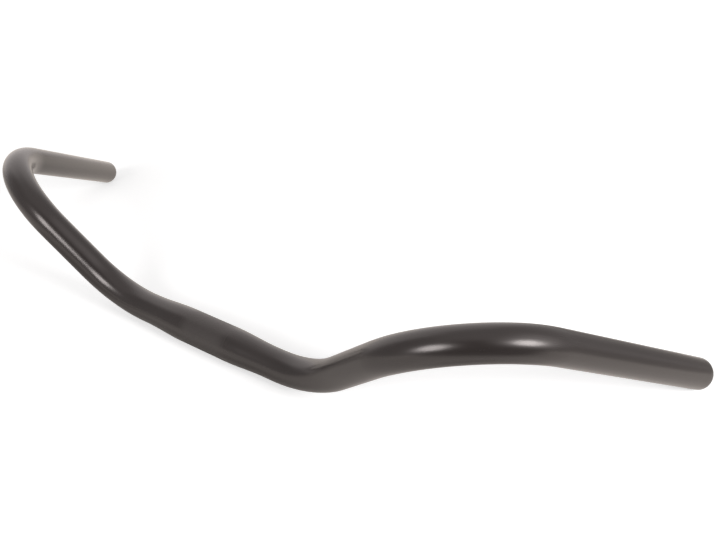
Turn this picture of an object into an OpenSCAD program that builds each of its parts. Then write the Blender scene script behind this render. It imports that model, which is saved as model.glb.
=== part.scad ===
// City handlebar: one aluminium tube with a thicker middle, bent twice on each side.
// Millimetres. X runs across the bicycle, +Y points back to the rider and +Z is up.
// The origin is the centre of the clamp zone, on the tube's centreline.
// Each side is drawn as a bender would set it up: a straight, a bend, a straight, a bend, a grip.

/* [Tube] */
// Outside diameter of the tube, which is also the grip diameter
tube_d = 22.2; // [20:0.1:25]
// Wall of the tube, the same all along it
wall = 2.2; // [1.4:0.1:3.5]

/* [Clamp zone] */
// Diameter of the thick middle that the stem holds
clamp_d = 25.4; // [25:0.1:32]
// Length of the straight-sided thick middle
clamp_len = 40; // [30:1:60]
// Length over which each side tapers from the thick middle down to the tube
taper_len = 38; // [20:1:60]
// Plain tube between the end of a taper and the start of the first bend
neck_len = 3.5; // [1:0.5:20]

/* [First bend, up from the middle] */
// Centreline radius of the first bend
rise_bend_r = 80; // [60:1:110]
// Angle that the first bend turns through
rise_turn = 43; // [25:1:60]
// How far the rising arms lean forward of upright, away from the rider
lean = 12.7; // [0:0.1:25]
// Straight tube between the two bends
arm_len = 41; // [20:1:80]

/* [Second bend, back to the rider] */
// Centreline radius of the second bend
sweep_bend_r = 70; // [50:1:90]
// Angle that the second bend turns through
sweep_turn = 96; // [75:1:110]
// Twist about the arm from the plane of the first bend to the plane of the second
sweep_roll = -138; // [-160:1:-110]
// Straight length of each grip, from the second bend to the open end
grip_len = 151; // [120:1:180]

/* [Edges] */
// Radius of the rounded outer edge of the open ends
rim_r = 0.8; // [0.3:0.1:1.2]
// How much slimmer the tube becomes in the bends, where it is stretched round the former
bend_neck = 0.06; // [0.04:0.01:0.2]

/* [Hidden] */

// Radii of the outside of the tube and of the clamp zone
tube_r = tube_d / 2;
clamp_r = clamp_d / 2;
// From the centre to the end of the thick part, and to the start of the first bend
clamp_half = clamp_len / 2;
middle_half = clamp_half + taper_len + neck_len;
// How far a straight reaches into the bend beside it, so that the two are one piece of metal
lap = 0.5;
// Steps along the curve of a taper, and round a rim
taper_steps = 12;
rim_steps = 5;
// Segments round the tube, and round a full turn of a bend
$fn = 96;
bend_fn = 180;

// Outside radius at t of the way down a taper: level at both ends, steepest half way
function taper_r(t) = tube_r + (clamp_r - tube_r) * (1 + cos(180 * t)) / 2;

// Points down one taper as [radius, distance from the centre], lowered into the wall by depth
function taper_points(depth) = [
    for (i = [0:taper_steps])
        [taper_r(i / taper_steps) - depth, clamp_half + taper_len * i / taper_steps]
];

// Points of the rounded outer edge of an open end, for a straight of length len
function rim_points(len) = [
    for (i = [0:rim_steps])
        let (a = 90 * i / rim_steps)
            [tube_r - rim_r * (1 - cos(a)), len - rim_r * (1 - sin(a))]
];

// In these modules depth is 0 for the outside of the tube and the wall for its inside.

// The middle along X: thick zone, both tapers and both necks
module middle_rod(depth) {
    half = concat(
        taper_points(depth),
        [[tube_r - depth, middle_half + lap], [0, middle_half + lap]]
    );
    other_half = [for (i = [len(half) - 1:-1:0]) [half[i][0], -half[i][1]]];
    rotate([0, 90, 0])
        rotate_extrude()
            polygon(concat(half, other_half));
}

// A straight along +Z, with what follows it placed at its far end
module straight(len, depth) {
    translate([0, 0, -lap])
        cylinder(r = tube_r - depth, h = len + 2 * lap);
    translate([0, 0, len])
        children();
}

// A bend that starts along +Z and turns towards +X, with what follows it placed at its far end
module bend(bend_r, turn, depth) {
    translate([bend_r, 0, 0]) {
        rotate([90, 0, 180])
            rotate_extrude(angle = turn, $fn = bend_fn)
                translate([bend_r, 0])
                    circle(r = tube_r - bend_neck / 2 - depth);
        rotate([0, turn, 0])
            translate([-bend_r, 0, 0])
                children();
    }
}

// The outside of a grip, with the rounded edge of its open end
module grip_rod() {
    rotate_extrude()
        polygon(concat([[0, -lap], [tube_r, -lap]], rim_points(grip_len), [[0, grip_len]]));
}

// The inside of a grip, which runs out through its open end
module grip_hole() {
    translate([0, 0, -lap])
        cylinder(r = tube_r - wall, h = grip_len + 2 * lap);
}

// The right side from the first bend outwards, with a grip placed after the second bend
module side_rod(depth) {
    translate([middle_half, 0, 0])
        rotate([0, 90, 0])
            rotate([0, 0, 180 + lean])
                bend(rise_bend_r, rise_turn, depth)
                    straight(arm_len, depth)
                        rotate([0, 0, sweep_roll])
                            bend(sweep_bend_r, sweep_turn, depth)
                                children();
}

// The left side mirrors the right
module both_sides() {
    for (m = [0, 1])
        mirror([m, 0, 0])
            children();
}

module handlebar() {
    color([0.09, 0.09, 0.095])
        difference() {
            union() {
                middle_rod(0);
                both_sides()
                    side_rod(0)
                        grip_rod();
            }
            middle_rod(wall);
            both_sides()
                side_rod(wall)
                    grip_hole();
        }
}

handlebar();
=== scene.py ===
import math

import bpy
from mathutils import Matrix, Vector


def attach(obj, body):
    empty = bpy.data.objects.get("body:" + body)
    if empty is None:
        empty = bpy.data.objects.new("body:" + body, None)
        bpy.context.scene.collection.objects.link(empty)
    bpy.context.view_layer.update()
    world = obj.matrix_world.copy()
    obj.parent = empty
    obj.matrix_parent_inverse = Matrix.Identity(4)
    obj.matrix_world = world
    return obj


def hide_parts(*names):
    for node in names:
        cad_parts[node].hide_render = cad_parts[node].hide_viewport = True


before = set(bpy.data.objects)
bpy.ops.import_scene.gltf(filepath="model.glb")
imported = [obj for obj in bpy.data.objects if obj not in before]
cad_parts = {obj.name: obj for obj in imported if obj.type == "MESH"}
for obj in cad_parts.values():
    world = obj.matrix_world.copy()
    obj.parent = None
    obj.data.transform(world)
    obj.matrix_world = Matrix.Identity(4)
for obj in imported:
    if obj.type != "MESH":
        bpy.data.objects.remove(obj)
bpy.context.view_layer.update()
print("frame loaded")

mm = 0.001
noiseMiddle = 0.5


# One output socket that can be used in sums: each operator adds its Math node
class Value:
    def __init__(self, finish, socket):
        self.finish = finish
        self.socket = socket

    def math(self, operation, *terms):
        inputs = dict(enumerate(terms))
        return self.finish.node("ShaderNodeMath", {"operation": operation}, inputs)

    def __add__(self, other):
        return self.math("ADD", self, other)

    def __radd__(self, other):
        return self.math("ADD", other, self)

    def __sub__(self, other):
        return self.math("SUBTRACT", self, other)

    def __rsub__(self, other):
        return self.math("SUBTRACT", other, self)

    def __mul__(self, other):
        return self.math("MULTIPLY", self, other)

    def __rmul__(self, other):
        return self.math("MULTIPLY", other, self)

    def __abs__(self):
        return self.math("ABSOLUTE", self)

    def sine(self):
        return self.math("SINE", self)


# A material, or the world, that nodes are added to
class Finish:
    def __init__(self, owner):
        owner.use_nodes = True
        self.tree = owner.node_tree
        self.tree.nodes.clear()

    # kind is the node's type; settings are set first, then the values or links of its sockets
    def node(self, kind, settings=None, inputs=None, output=0):
        made = self.tree.nodes.new(kind)
        for name, setting in (settings or {}).items():
            setattr(made, name, setting)
        for name, given in (inputs or {}).items():
            if isinstance(given, Value):
                self.tree.links.new(given.socket, made.inputs[name])
            else:
                made.inputs[name].default_value = given
        return Value(self, made.outputs[output]) if len(made.outputs) else None

    # 0 below low, 1 above high, smooth between
    def step(self, value, low, high):
        return self.node("ShaderNodeMapRange", {"interpolation_type": "SMOOTHSTEP"},
                         {"Value": value, "From Min": low, "From Max": high})

    # Noise from 0 to 1 at a place, with its own stretch along and around the tube
    def noise(self, place, stretch, detail=3.0, roughness=0.55):
        return self.node("ShaderNodeTexNoise", {"noise_dimensions": "3D"},
                         {"Vector": self.vector("MULTIPLY", place, stretch), "Scale": 1.0,
                          "Detail": detail, "Roughness": roughness})

    def mixColour(self, factor, first, second):
        return self.node("ShaderNodeMix", {"data_type": "RGBA"},
                         {0: factor, 6: first, 7: second}, 2)

    # Vector Math; a length and a dot product come out as one number, from the second output
    def vector(self, operation, *terms):
        output = 1 if operation in ("LENGTH", "DOT_PRODUCT") else 0
        return self.node("ShaderNodeVectorMath", {"operation": operation},
                         dict(enumerate(terms)), output)

    # One coordinate of a place: 0, 1 or 2
    def axis(self, place, number):
        return self.node("ShaderNodeSeparateXYZ", None, {0: place}, number)

    # 1 for a ray from the camera, in a reflection and through glass
    def rays(self):
        camera = self.node("ShaderNodeLightPath")
        outputs = camera.socket.node.outputs
        return (camera, Value(self, outputs["Is Glossy Ray"]),
                Value(self, outputs["Is Transmission Ray"]))

    # Places on the tube as if it were unbent: along it first, then across
    def tubePlace(self):
        return self.node("ShaderNodeAttribute", {"attribute_name": "straightened"}, output=1)


def colour(red, green, blue):
    return (red, green, blue, 1.0)


barSizes = {
    "tube": 22.2,            # outside diameter
    "wall": 2.2,
    "clampAcross": 25.4,     # thick middle for the stem
    "clampLong": 40.0,
    "taper": 38.0,
    "neck": 3.5,
    "firstRadius": 80.0,
    "firstTurn": 43.0,
    "lean": 12.7,            # forward lean of the rising arms, in degrees
    "arm": 41.0,
    "secondRadius": 70.0,
    "secondTurn": 96.0,
    "secondRoll": -138.0,    # twist from the first bend's plane to the second's
    "grip": 151.0,
    "rim": 0.8,              # rounded outer edge of the open ends
    "innerRim": 0.35,
    "firstOval": (-0.045, 0.015),   # how much thinner in the bend's plane, and wider across it
    "secondOval": (-0.020, 0.018),
    "ovalRamp": 22.0,        # length over which a bend comes to its full oval
    "knurlTeeth": 66,        # round the clamp zone
    "knurlPitch": 1.75,      # along it
    "knurlDeep": 0.09,
    "knurlFade": 7.0,        # from each end of the clamp zone
    "knurlSharp": 0.7,       # below 1 makes the peaks broader and the grooves finer
}

# How finely the tube is made: vertices round it, and millimetres from one ring to the next
barDetail = {
    "around": 88,
    "knurlTimes": 3,         # so many times more vertices round the knurl
    "knurlRings": 132,
    "join": 2.0,             # from the knurl's last ring to the plain tube
    "taper": 1.6,
    "neck": 1.8,
    "bend": 1.5,
    "straight": 4.0,
    "boreTimes": 2,          # the bore's rings are so many times further apart
    "boreFrom": 3.0,         # and start so far inside the ends
    "outerEdge": 6,          # steps round the edges of the rims
    "innerEdge": 3,
    "sharp": 50,             # degrees between two faces that meet in a sharp edge
}
joinSlack = 1e-9             # a ring on a join belongs to the section that starts there


def turnAbout(axis, degrees):
    return Matrix.Rotation(math.radians(degrees), 4, axis)


# The right half as a bender makes it: each section has its length, its start and its bend
def barSections(sizes):
    sections = []
    place = turnAbout("Y", 90)
    roll = 0.0
    start = 0.0

    def straight(length):
        nonlocal place, start
        sections.append({"start": start, "length": length, "place": place, "roll": roll,
                         "radius": None, "oval": (0.0, 0.0)})
        place = place @ Matrix.Translation((0, 0, length))
        start += length

    def bend(radius, turn, oval):
        nonlocal place, start
        length = radius * math.radians(turn)
        sections.append({"start": start, "length": length, "place": place, "roll": roll,
                         "radius": radius, "oval": oval})
        place = (place @ Matrix.Translation((radius, 0, 0)) @ turnAbout("Y", turn)
                 @ Matrix.Translation((-radius, 0, 0)))
        start += length

    straight(sizes["clampLong"] / 2 + sizes["taper"] + sizes["neck"])
    place = place @ turnAbout("Z", 180 + sizes["lean"])
    roll += 180 + sizes["lean"]
    bend(sizes["firstRadius"], sizes["firstTurn"], sizes["firstOval"])
    straight(sizes["arm"])
    place = place @ turnAbout("Z", sizes["secondRoll"])
    roll += sizes["secondRoll"]
    bend(sizes["secondRadius"], sizes["secondTurn"], sizes["secondOval"])
    straight(sizes["grip"])
    return sections


sections = barSections(barSizes)
halfLong = sections[-1]["start"] + sections[-1]["length"]


def smooth(t):
    t = min(max(t, 0.0), 1.0)
    return t * t * (3 - 2 * t)


# Outside radius at a distance from the middle
def barRadius(distance):
    thin = barSizes["tube"] / 2
    thick = barSizes["clampAcross"] / 2
    t = (distance - barSizes["clampLong"] / 2) / barSizes["taper"]
    t = min(max(t, 0.0), 1.0)
    return thin + (thick - thin) * (1 + math.cos(math.pi * t)) / 2


# Depth of the crossed knurl at a place on the clamp zone
def knurlAt(along, turn):
    edge = barSizes["clampLong"] / 2 - abs(along)
    fade = smooth(edge / barSizes["knurlFade"])
    slant = along / barSizes["knurlPitch"]
    teeth = barSizes["knurlTeeth"] * turn / math.tau
    left = abs(math.sin(math.pi * (teeth / 2 + slant / 2)))
    right = abs(math.sin(math.pi * (teeth / 2 - slant / 2)))
    return fade * barSizes["knurlDeep"] * (1 - min(left, right) ** barSizes["knurlSharp"])


# One ring of the tube's skin, at a distance along the bar (negative on the left side)
def ringPoints(along, inset, count, knurled=False):
    distance = abs(along)
    side = -1 if along < 0 else 1
    section = [s for s in sections if s["start"] <= distance + joinSlack][-1]
    step = distance - section["start"]
    place = section["place"]
    thin = wide = 0.0
    if section["radius"]:
        radius = section["radius"]
        place = (place @ Matrix.Translation((radius, 0, 0))
                 @ turnAbout("Y", math.degrees(step / radius))
                 @ Matrix.Translation((-radius, 0, 0)))
        ramp = barSizes["ovalRamp"]
        amount = smooth(step / ramp) * smooth((section["length"] - step) / ramp)
        thin = section["oval"][0] * amount
        wide = section["oval"][1] * amount
    else:
        place = place @ Matrix.Translation((0, 0, step))
    points = []
    straightened = []
    for i in range(count):
        turn = math.tau * i / count
        radius = barRadius(distance) - inset
        if knurled:
            radius -= knurlAt(along, turn)
        local = turn - math.radians(section["roll"])
        point = place @ Vector((radius * (1 + thin) * math.cos(local),
                                radius * (1 + wide) * math.sin(local), 0))
        points.append(Vector((side * point.x, point.y, point.z)) * mm)
        straightened.append(Vector((along, radius * math.cos(turn), radius * math.sin(turn))) * mm)
    return points, straightened


# Distances of the rings along the right half, closer together where the tube bends or tapers
def ringDistances(coarse):
    clampHalf = barSizes["clampLong"] / 2
    distances = []

    def spread(start, end, gap):
        steps = max(1, math.ceil((end - start) / gap))
        distances.extend(start + (end - start) * i / steps for i in range(steps))

    first = sections[0]
    taperEnd = clampHalf + barSizes["taper"]
    spread(clampHalf + barDetail["join"], taperEnd, barDetail["taper"] * coarse)
    spread(taperEnd, first["length"], barDetail["neck"] * coarse)
    for section in sections[1:-1]:
        gap = barDetail["bend" if section["radius"] else "straight"]
        spread(section["start"], section["start"] + section["length"], gap * coarse)
    grip = sections[-1]
    spread(grip["start"], halfLong - barSizes["rim"], barDetail["straight"] * coarse)
    return distances


# Parts of the tube, in the order of its materials
skinPart, cutPart, borePart = range(3)


def buildBar():
    vertices = []
    straightened = []
    faces = []
    faceParts = []
    around = barDetail["around"]

    def addRing(along, inset, count=around, knurled=False):
        first = len(vertices)
        points, flat = ringPoints(along, inset, count, knurled)
        vertices.extend(points)
        straightened.extend(flat)
        return first, count

    def join(ringA, ringB, part):
        firstA, countA = ringA
        firstB, countB = ringB
        steps = min(countA, countB)

        def run(first, count, step):
            share = count // steps
            return [first + (step * share + j) % count for j in range(share + 1)]

        for step in range(steps):
            faces.append(run(firstA, countA, step)[::-1] + run(firstB, countB, step))
            faceParts.append(part)

    half = ringDistances(1)
    clampHalf = barSizes["clampLong"] / 2
    fine = barDetail["knurlRings"]
    knurl = [clampHalf * (2 * i / fine - 1) for i in range(fine + 1)]

    # The outside, from the left rim to the right one
    rings = [addRing(-d, 0) for d in reversed(half)]
    rings += [addRing(d, 0, barDetail["knurlTimes"] * around, True) for d in knurl]
    rings += [addRing(d, 0) for d in half]
    for ringA, ringB in zip(rings, rings[1:]):
        join(ringA, ringB, skinPart)

    # The rounded edges and the flat cut faces
    rim = barSizes["rim"]
    inner = barSizes["innerRim"]
    wall = barSizes["wall"]
    edge = []
    for i in range(barDetail["outerEdge"] + 1):
        angle = math.pi / 2 * i / barDetail["outerEdge"]
        edge.append((rim * (1 - math.cos(angle)), rim * (1 - math.sin(angle))))
    edge.append((wall - inner, 0.0))
    for i in range(1, barDetail["innerEdge"] + 1):
        angle = math.pi / 2 * i / barDetail["innerEdge"]
        edge.append((wall - inner * (1 - math.sin(angle)), inner * (1 - math.cos(angle))))

    def rimRings(side):
        return [addRing(side * (halfLong - back), inset) for inset, back in edge]

    rightRim = rimRings(1)
    leftRim = rimRings(-1)
    join(rings[-1], rightRim[0], skinPart)
    join(leftRim[0], rings[0], skinPart)
    for i in range(len(edge) - 1):
        join(rightRim[i], rightRim[i + 1], cutPart)
        join(leftRim[i + 1], leftRim[i], cutPart)

    # The bore, from the right end back to the left one
    bore = [d for d in ringDistances(barDetail["boreTimes"])
            if d < halfLong - barDetail["boreFrom"]]
    inside = [addRing(d, wall) for d in reversed(bore)]
    inside += [addRing(0, wall)]
    inside += [addRing(-d, wall) for d in bore]
    join(rightRim[-1], inside[0], borePart)
    for ringA, ringB in zip(inside, inside[1:]):
        join(ringA, ringB, borePart)
    join(inside[-1], leftRim[-1], borePart)

    mesh = bpy.data.meshes.new("handlebarTube")
    mesh.from_pydata(vertices, [], faces)
    mesh.polygons.foreach_set("use_smooth", [True] * len(faces))
    mesh.polygons.foreach_set("material_index", faceParts)
    flat = mesh.attributes.new("straightened", "FLOAT_VECTOR", "POINT")
    flat.data.foreach_set("vector", [c for v in straightened for c in v])
    mesh.update()
    mesh.set_sharp_from_angle(angle=math.radians(barDetail["sharp"]))
    tube = bpy.data.objects.new("handlebar_tube", mesh)
    bpy.context.scene.collection.objects.link(tube)
    return tube


anodised = {
    "black": colour(0.0168, 0.0142, 0.0137),
    "worn": colour(0.0258, 0.0222, 0.0212),     # where the dye is thinner
    "knurlBlack": colour(0.0293, 0.0262, 0.0252),
    "knurlCover": 0.8,
    "cloudy": (22, 60, 60),                     # broad unevenness of the dye
    "drawn": (60, 2600, 2600),                  # fine lines along the drawn tube
    "pores": (3200, 3200, 3200),
    "scuffs": (90, 420, 420),
    "scuffsFrom": (0.62, 0.86),
    "thinning": (0.5, 0.15, 0.20),              # by the clouds, the lines and the scuffs
    "roughness": 0.25,
    "roughnessSpread": 0.09,
    "scuffRoughness": 0.05,
    "knurlRoughness": 0.43,
    "dullShift": 2.0,                           # the duller finish sits so far to the right
    "dullEdge": (7.0, 4.0),                     # and fades inside and outside the clamp zone
    "bump": 0.14,
    "bumpDepth": 0.00003,
    "bumpShares": (0.6, 0.4),                   # of the lines and the pores
    "ior": 1.52,
}


def satinBlack():
    material = bpy.data.materials.new("satinBlackAnodised")
    f = Finish(material)
    place = f.tubePlace()
    along = f.axis(place, 0)

    # The knurled clamp zone is rougher, and greyer where the peaks are rubbed
    clampHalf = barSizes["clampLong"] / 2 * mm
    inside, outside = anodised["dullEdge"]
    clamp = 1 - f.step(abs(along - anodised["dullShift"] * mm),
                       clampHalf - inside * mm, clampHalf + outside * mm)

    cloudy = f.noise(place, anodised["cloudy"])
    drawn = f.noise(place, anodised["drawn"], detail=2.0)
    pores = f.noise(place, anodised["pores"], detail=1.0)
    scuffs = f.noise(place, anodised["scuffs"], detail=4.0, roughness=0.7)
    scuffs = f.step(scuffs, *anodised["scuffsFrom"])

    byCloudy, byDrawn, byScuffs = anodised["thinning"]
    thin = byCloudy * cloudy + byDrawn * drawn + byScuffs * scuffs
    black = f.mixColour(thin, anodised["black"], anodised["worn"])
    black = f.mixColour(anodised["knurlCover"] * clamp, black, anodised["knurlBlack"])

    spread = anodised["roughnessSpread"]
    rough = anodised["roughness"] + spread * (cloudy - noiseMiddle)
    rough = rough + spread / 2 * (drawn - noiseMiddle)
    rough = rough + anodised["scuffRoughness"] * scuffs
    rough = rough + (anodised["knurlRoughness"] - anodised["roughness"]) * clamp

    drawnShare, poreShare = anodised["bumpShares"]
    bump = f.node("ShaderNodeBump", None, {
        "Strength": anodised["bump"], "Distance": anodised["bumpDepth"],
        "Height": drawnShare * drawn + poreShare * pores})
    skin = f.node("ShaderNodeBsdfPrincipled", None, {
        "Base Color": black, "Roughness": rough, "IOR": anodised["ior"], "Normal": bump})
    f.node("ShaderNodeOutputMaterial", None, {"Surface": skin})
    return material


cutEnd = {
    "black": colour(0.036, 0.034, 0.033),
    "bright": colour(0.100, 0.096, 0.093),
    "patches": (500, 500, 500),
    "brightShare": 0.6,
    "roughness": 0.38,
    "roughnessSpread": 0.1,
    "turning": 0.15,                            # mm from one turning mark to the next
    "bump": 0.45,
    "bumpDepth": 0.00005,
}


# The faced ends: the same dye over fine turning marks
def turnedEnd():
    material = bpy.data.materials.new("turnedTubeEnd")
    f = Finish(material)
    place = f.tubePlace()
    radius = f.vector("LENGTH", f.vector("MULTIPLY", place, (0, 1, 1)))
    rings = (radius * (math.tau / (cutEnd["turning"] * mm))).sine()
    patchy = f.noise(place, cutEnd["patches"])
    black = f.mixColour(cutEnd["brightShare"] * patchy, cutEnd["black"], cutEnd["bright"])
    bump = f.node("ShaderNodeBump", None, {
        "Strength": cutEnd["bump"], "Distance": cutEnd["bumpDepth"], "Height": rings})
    skin = f.node("ShaderNodeBsdfPrincipled", None, {
        "Base Color": black, "Roughness": cutEnd["roughness"] + cutEnd["roughnessSpread"] * patchy,
        "IOR": anodised["ior"], "Normal": bump})
    f.node("ShaderNodeOutputMaterial", None, {"Surface": skin})
    return material


boreSkin = {
    "dark": colour(0.030, 0.029, 0.028),
    "bare": colour(0.16, 0.155, 0.15),
    "streaks": (30, 900, 900),
    "streakShare": 0.4,
    "dyedFrom": (60.0, 15.0),                   # mm inside the ends: bare, and fully dyed
    "dyeWanders": 0.02,
    "roughness": 0.5,
    "roughnessSpread": 0.15,
    "bareMetal": 0.6,
    "bump": 0.3,
    "bumpDepth": 0.0001,
}


# Inside the tube the dye runs in from the ends and thins out further in
def dullBore():
    material = bpy.data.materials.new("dullTubeBore")
    f = Finish(material)
    place = f.tubePlace()
    along = f.axis(place, 0)
    streaks = f.noise(place, boreSkin["streaks"])
    bareAt, dyedAt = boreSkin["dyedFrom"]
    dyed = f.step(abs(along) + boreSkin["dyeWanders"] * (streaks - noiseMiddle),
                  (halfLong - bareAt) * mm, (halfLong - dyedAt) * mm)
    shade = f.mixColour(dyed, boreSkin["bare"], boreSkin["dark"])
    shade = f.mixColour(boreSkin["streakShare"] * streaks, shade, boreSkin["dark"])
    rough = boreSkin["roughness"] + boreSkin["roughnessSpread"] * (streaks - noiseMiddle)
    bump = f.node("ShaderNodeBump", None, {
        "Strength": boreSkin["bump"], "Distance": boreSkin["bumpDepth"], "Height": streaks})
    skin = f.node("ShaderNodeBsdfPrincipled", None, {
        "Base Color": shade, "Roughness": rough, "Metallic": boreSkin["bareMetal"] * (1 - dyed),
        "Normal": bump})
    f.node("ShaderNodeOutputMaterial", None, {"Surface": skin})
    return material


bar = buildBar()
for finish in (satinBlack(), turnedEnd(), dullBore()):
    bar.data.materials.append(finish)
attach(bar, "root")
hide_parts("handlebar")
print("tube built:", len(bar.data.polygons), "faces")


studio = {
    "middle": (0.0, 0.07, 0.03),          # metres; what the lamps point at
    "floorAcross": 16.0,
    "floorGap": 0.00002,                  # between the bar's lowest point and the floor
    "floor": colour(0.82, 0.875, 0.89),   # white under the warm lamps
    "floorWarm": colour(0.86, 0.85, 0.82),
    # Painted shade: the dark floor colour that only reflections see, past the floor's edges and
    # close under the bar
    "floorUnlit": colour(0.08, 0.08, 0.08),
    "floorLift": 0.42,                    # added for the camera, so that the floor shows white
    "floorLiftFar": 0.26,                 # and more where the lamps don't reach
    "farFrom": (0.3, 1.0),                # metres from the origin
    "skyLight": 0.45,                     # what the room gives to matt surfaces
    "lampAway": 1.5,
    "lamps": {                            # azimuth, height, width across and power
        "rightLamp": (96.6, 26.7, 0.56, 12.8),
        "leftLamp": (178.4, 25.6, 0.67, 12.4),
    },
}

# What the bar reflects of the room above the floor. Each side has its azimuth, half width, soft
# edge and brightness; later ones cover earlier ones
room = {
    "tint": colour(1.0, 0.924, 0.906),
    "side": 0.78,
    "sides": {
        "backLeft": (-66, 47, 18, 1.47),
        "backDark": (21, 10, 8, 0.45),
        "dimLeft": (-145, 46, 14, 0.49),
        "unlit": (142, 42, 12, 0.03),     # towards the camera
    },
    "backDarkBelow": (0.12, 0.24),        # height of the direction where the dark back ends
    "aboveRight": (86, 42, 40, 1.2),      # azimuth, height, reach and added brightness
    "overhead": 0.80,
    "overheadFrom": (0.70, 0.97),         # height of the direction where it takes over
}

# What the bar reflects of the floor. Pairs are metres from where to where a change runs
floorSeen = {
    "tint": colour(1.0, 0.90, 0.81),
    "lift": 0.19,                         # added to the lit floor near the bar
    "liftBackLeft": 0.86,
    "backFrom": (0.02, 0.22),             # back is +Y, across is +X
    "leftUntil": (-0.25, -0.06),
    "liftRight": 0.11,
    "rightFrom": (0.18, 0.38),
    "edge": (105, 0.25, 0.42),            # azimuth and distances where the reflected floor turns to painted unlit dark
    "edgeBack": (-0.08, 0.02),            # and where it is pale again, towards the back
    "farEdge": (24, 0.350, 0.375, 0.60),  # its far edge, and how dark the painted unlit floor is beyond
    "farEdgeAcross": (-0.10, 0.15),
    # Painted shade close under the bar, darkening the floor as reflections see it: place, half
    # length, half width and depth
    "paintedShades": [(-0.185, -0.060, 0.110, 0.110, 0.60),
               (-0.015, -0.010, 0.205, 0.034, 0.50),
               (0.220, 0.005, 0.075, 0.085, 0.38)],
    "paintedShadeSoft": (0.3, 1.0),              # where a painted shade fades, as a share of its size
}


# A direction by its azimuth from +Y towards +X and its height above the floor, in degrees
def toward(azimuth, height=0.0):
    a = math.radians(azimuth)
    h = math.radians(height)
    return Vector((math.sin(a) * math.cos(h), math.cos(a) * math.cos(h), math.sin(h)))


def buildFloor():
    reach = studio["floorAcross"] / 2
    low = min(v.co.z for v in bar.data.vertices) - studio["floorGap"]
    corners = [(-reach, -reach, low), (reach, -reach, low), (reach, reach, low),
               (-reach, reach, low)]
    mesh = bpy.data.meshes.new("floor")
    mesh.from_pydata(corners, [], [(0, 1, 2, 3)])
    floor = bpy.data.objects.new("floor", mesh)
    bpy.context.scene.collection.objects.link(floor)
    material = bpy.data.materials.new("paleFloor")
    material.cycles.emission_sampling = "NONE"
    f = Finish(material)
    camera, glossy, through = f.rays()
    shade = f.mixColour(glossy, studio["floor"], studio["floorWarm"])
    matt = f.node("ShaderNodeBsdfDiffuse", None, {"Color": shade})

    # Reflected, the floor is brighter at the back left and a little brighter on the right
    place = f.node("ShaderNodeTexCoord", output=3)
    across = f.axis(place, 0)
    back = f.axis(place, 1)
    backLeft = f.step(back, *floorSeen["backFrom"]) * (1 - f.step(across, *floorSeen["leftUntil"]))
    reflected = floorSeen["lift"] + (floorSeen["liftBackLeft"] - floorSeen["lift"]) * backLeft
    reflected = reflected + floorSeen["liftRight"] * f.step(across, *floorSeen["rightFrom"])
    far = f.step(f.vector("LENGTH", place), *studio["farFrom"])
    shown = studio["floorLift"] + studio["floorLiftFar"] * far
    tint = f.mixColour(camera, floorSeen["tint"], colour(1, 1, 1))
    glow = f.node("ShaderNodeEmission", None, {
        "Color": tint, "Strength": shown * (camera + through) + reflected * glossy})
    lit = f.node("ShaderNodeAddShader", None, {0: matt, 1: glow})

    def awayTo(azimuth, near, far):
        return f.step(f.vector("DOT_PRODUCT", place, tuple(toward(azimuth))), near, far)

    # Painted shade in reflections: the floor goes dark on the right in front of the bar, and far
    # back
    pale = 1 - awayTo(*floorSeen["edge"]) * (1 - f.step(back, *floorSeen["edgeBack"]))
    azimuth, near, far, depth = floorSeen["farEdge"]
    beyond = awayTo(azimuth, near, far) * f.step(across, *floorSeen["farEdgeAcross"])
    pale = pale * (1 - depth * beyond)
    # Painted shade under the bar: reflections see the floor darkened there
    for shadeX, shadeY, halfX, halfY, depth in floorSeen["paintedShades"]:
        offset = f.vector("SUBTRACT", place, (shadeX, shadeY, low))
        offset = f.vector("LENGTH", f.vector("DIVIDE", offset, (halfX, halfY, 1.0)))
        pale = pale * (1 - depth * (1 - f.step(offset, *floorSeen["paintedShadeSoft"])))
    # Painted shade: the dark floor that only reflections see, past the edges and under the bar
    unlit = f.node("ShaderNodeBsdfDiffuse", None, {"Color": studio["floorUnlit"]})
    mixed = f.node("ShaderNodeMixShader", None, {0: (1 - pale) * glossy, 1: lit, 2: unlit})
    f.node("ShaderNodeOutputMaterial", None, {"Surface": mixed})
    mesh.materials.append(material)
    return floor


floor = buildFloor()


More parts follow.
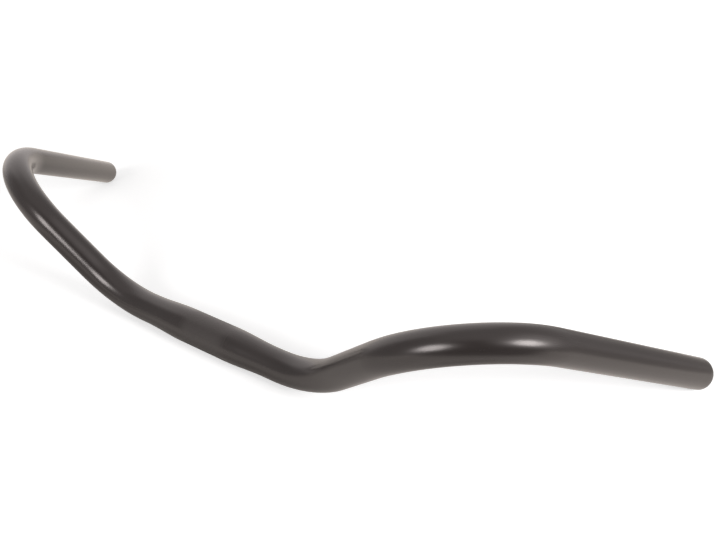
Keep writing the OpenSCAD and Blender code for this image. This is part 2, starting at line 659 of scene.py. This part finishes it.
# White to the camera, and in reflections a room with one bright side and an unlit one
def buildRoom():
    world = bpy.data.worlds.new("room")
    bpy.context.scene.world = world
    world.cycles.sampling_method = "NONE"
    f = Finish(world)
    direction = f.node("ShaderNodeTexCoord")
    level = f.vector("NORMALIZE", f.vector("MULTIPLY", direction, (1, 1, 0)))
    height = f.axis(direction, 2)

    reflected = room["side"]
    for side, (azimuth, half, edge, strength) in room["sides"].items():
        facing = f.vector("DOT_PRODUCT", level, tuple(toward(azimuth)))
        within = f.step(facing, math.cos(math.radians(half + edge)),
                        math.cos(math.radians(half - edge)))
        if side == "backDark":
            within = within * (1 - f.step(height, *room["backDarkBelow"]))
        reflected = reflected * (1 - within) + strength * within
    azimuth, up, reach, strength = room["aboveRight"]
    facing = f.vector("DOT_PRODUCT", direction, tuple(toward(azimuth, up)))
    reflected = reflected + strength * f.step(facing, math.cos(math.radians(reach)), 1.0)
    above = f.step(height, *room["overheadFrom"])
    reflected = reflected * (1 - above) + room["overhead"] * above

    camera, glossy, through = f.rays()
    strength = camera + (glossy + through) * reflected
    strength = strength + studio["skyLight"] * (1 - camera - glossy - through)
    tint = f.mixColour(camera, room["tint"], colour(1, 1, 1))
    sky = f.node("ShaderNodeBackground", None, {"Color": tint, "Strength": strength})
    f.node("ShaderNodeOutputWorld", None, {"Surface": sky})


buildRoom()


def addLamp(name, azimuth, height, across, power):
    lamp = bpy.data.lights.new(name, "AREA")
    lamp.shape = "DISK"
    lamp.size = across
    lamp.energy = power
    lamp.color = room["tint"][:3]
    holder = bpy.data.objects.new(name, lamp)
    bpy.context.scene.collection.objects.link(holder)
    out = toward(azimuth, height)
    holder.location = Vector(studio["middle"]) + out * studio["lampAway"]
    holder.rotation_euler = out.to_track_quat("Z", "Y").to_euler()


for lampName, values in studio["lamps"].items():
    addLamp(lampName, *values)


cameraSetup = {
    "spot": (0.32249, -0.29543, 0.30852),
    "aim": (0.07495, 0.07870, 0.04066),
    "roll": 0.557,               # degrees
    "lens": 36.576,              # millimetres, on this width of film
    "film": 36.0,
    "nearest": 0.01,             # metres
}


def addCamera(setup):
    lens = bpy.data.cameras.new("photoCamera")
    lens.lens = setup["lens"]
    lens.sensor_width = setup["film"]
    lens.clip_start = setup["nearest"]
    camera = bpy.data.objects.new("photoCamera", lens)
    bpy.context.scene.collection.objects.link(camera)
    spot = Vector(setup["spot"])
    look = (Vector(setup["aim"]) - spot).to_track_quat("-Z", "Y").to_matrix().to_4x4()
    camera.matrix_world = Matrix.Translation(spot) @ look @ turnAbout("Z", setup["roll"])
    bpy.context.scene.camera = camera


addCamera(cameraSetup)
bpy.context.scene.view_settings.view_transform = "Standard"
print("studio built")
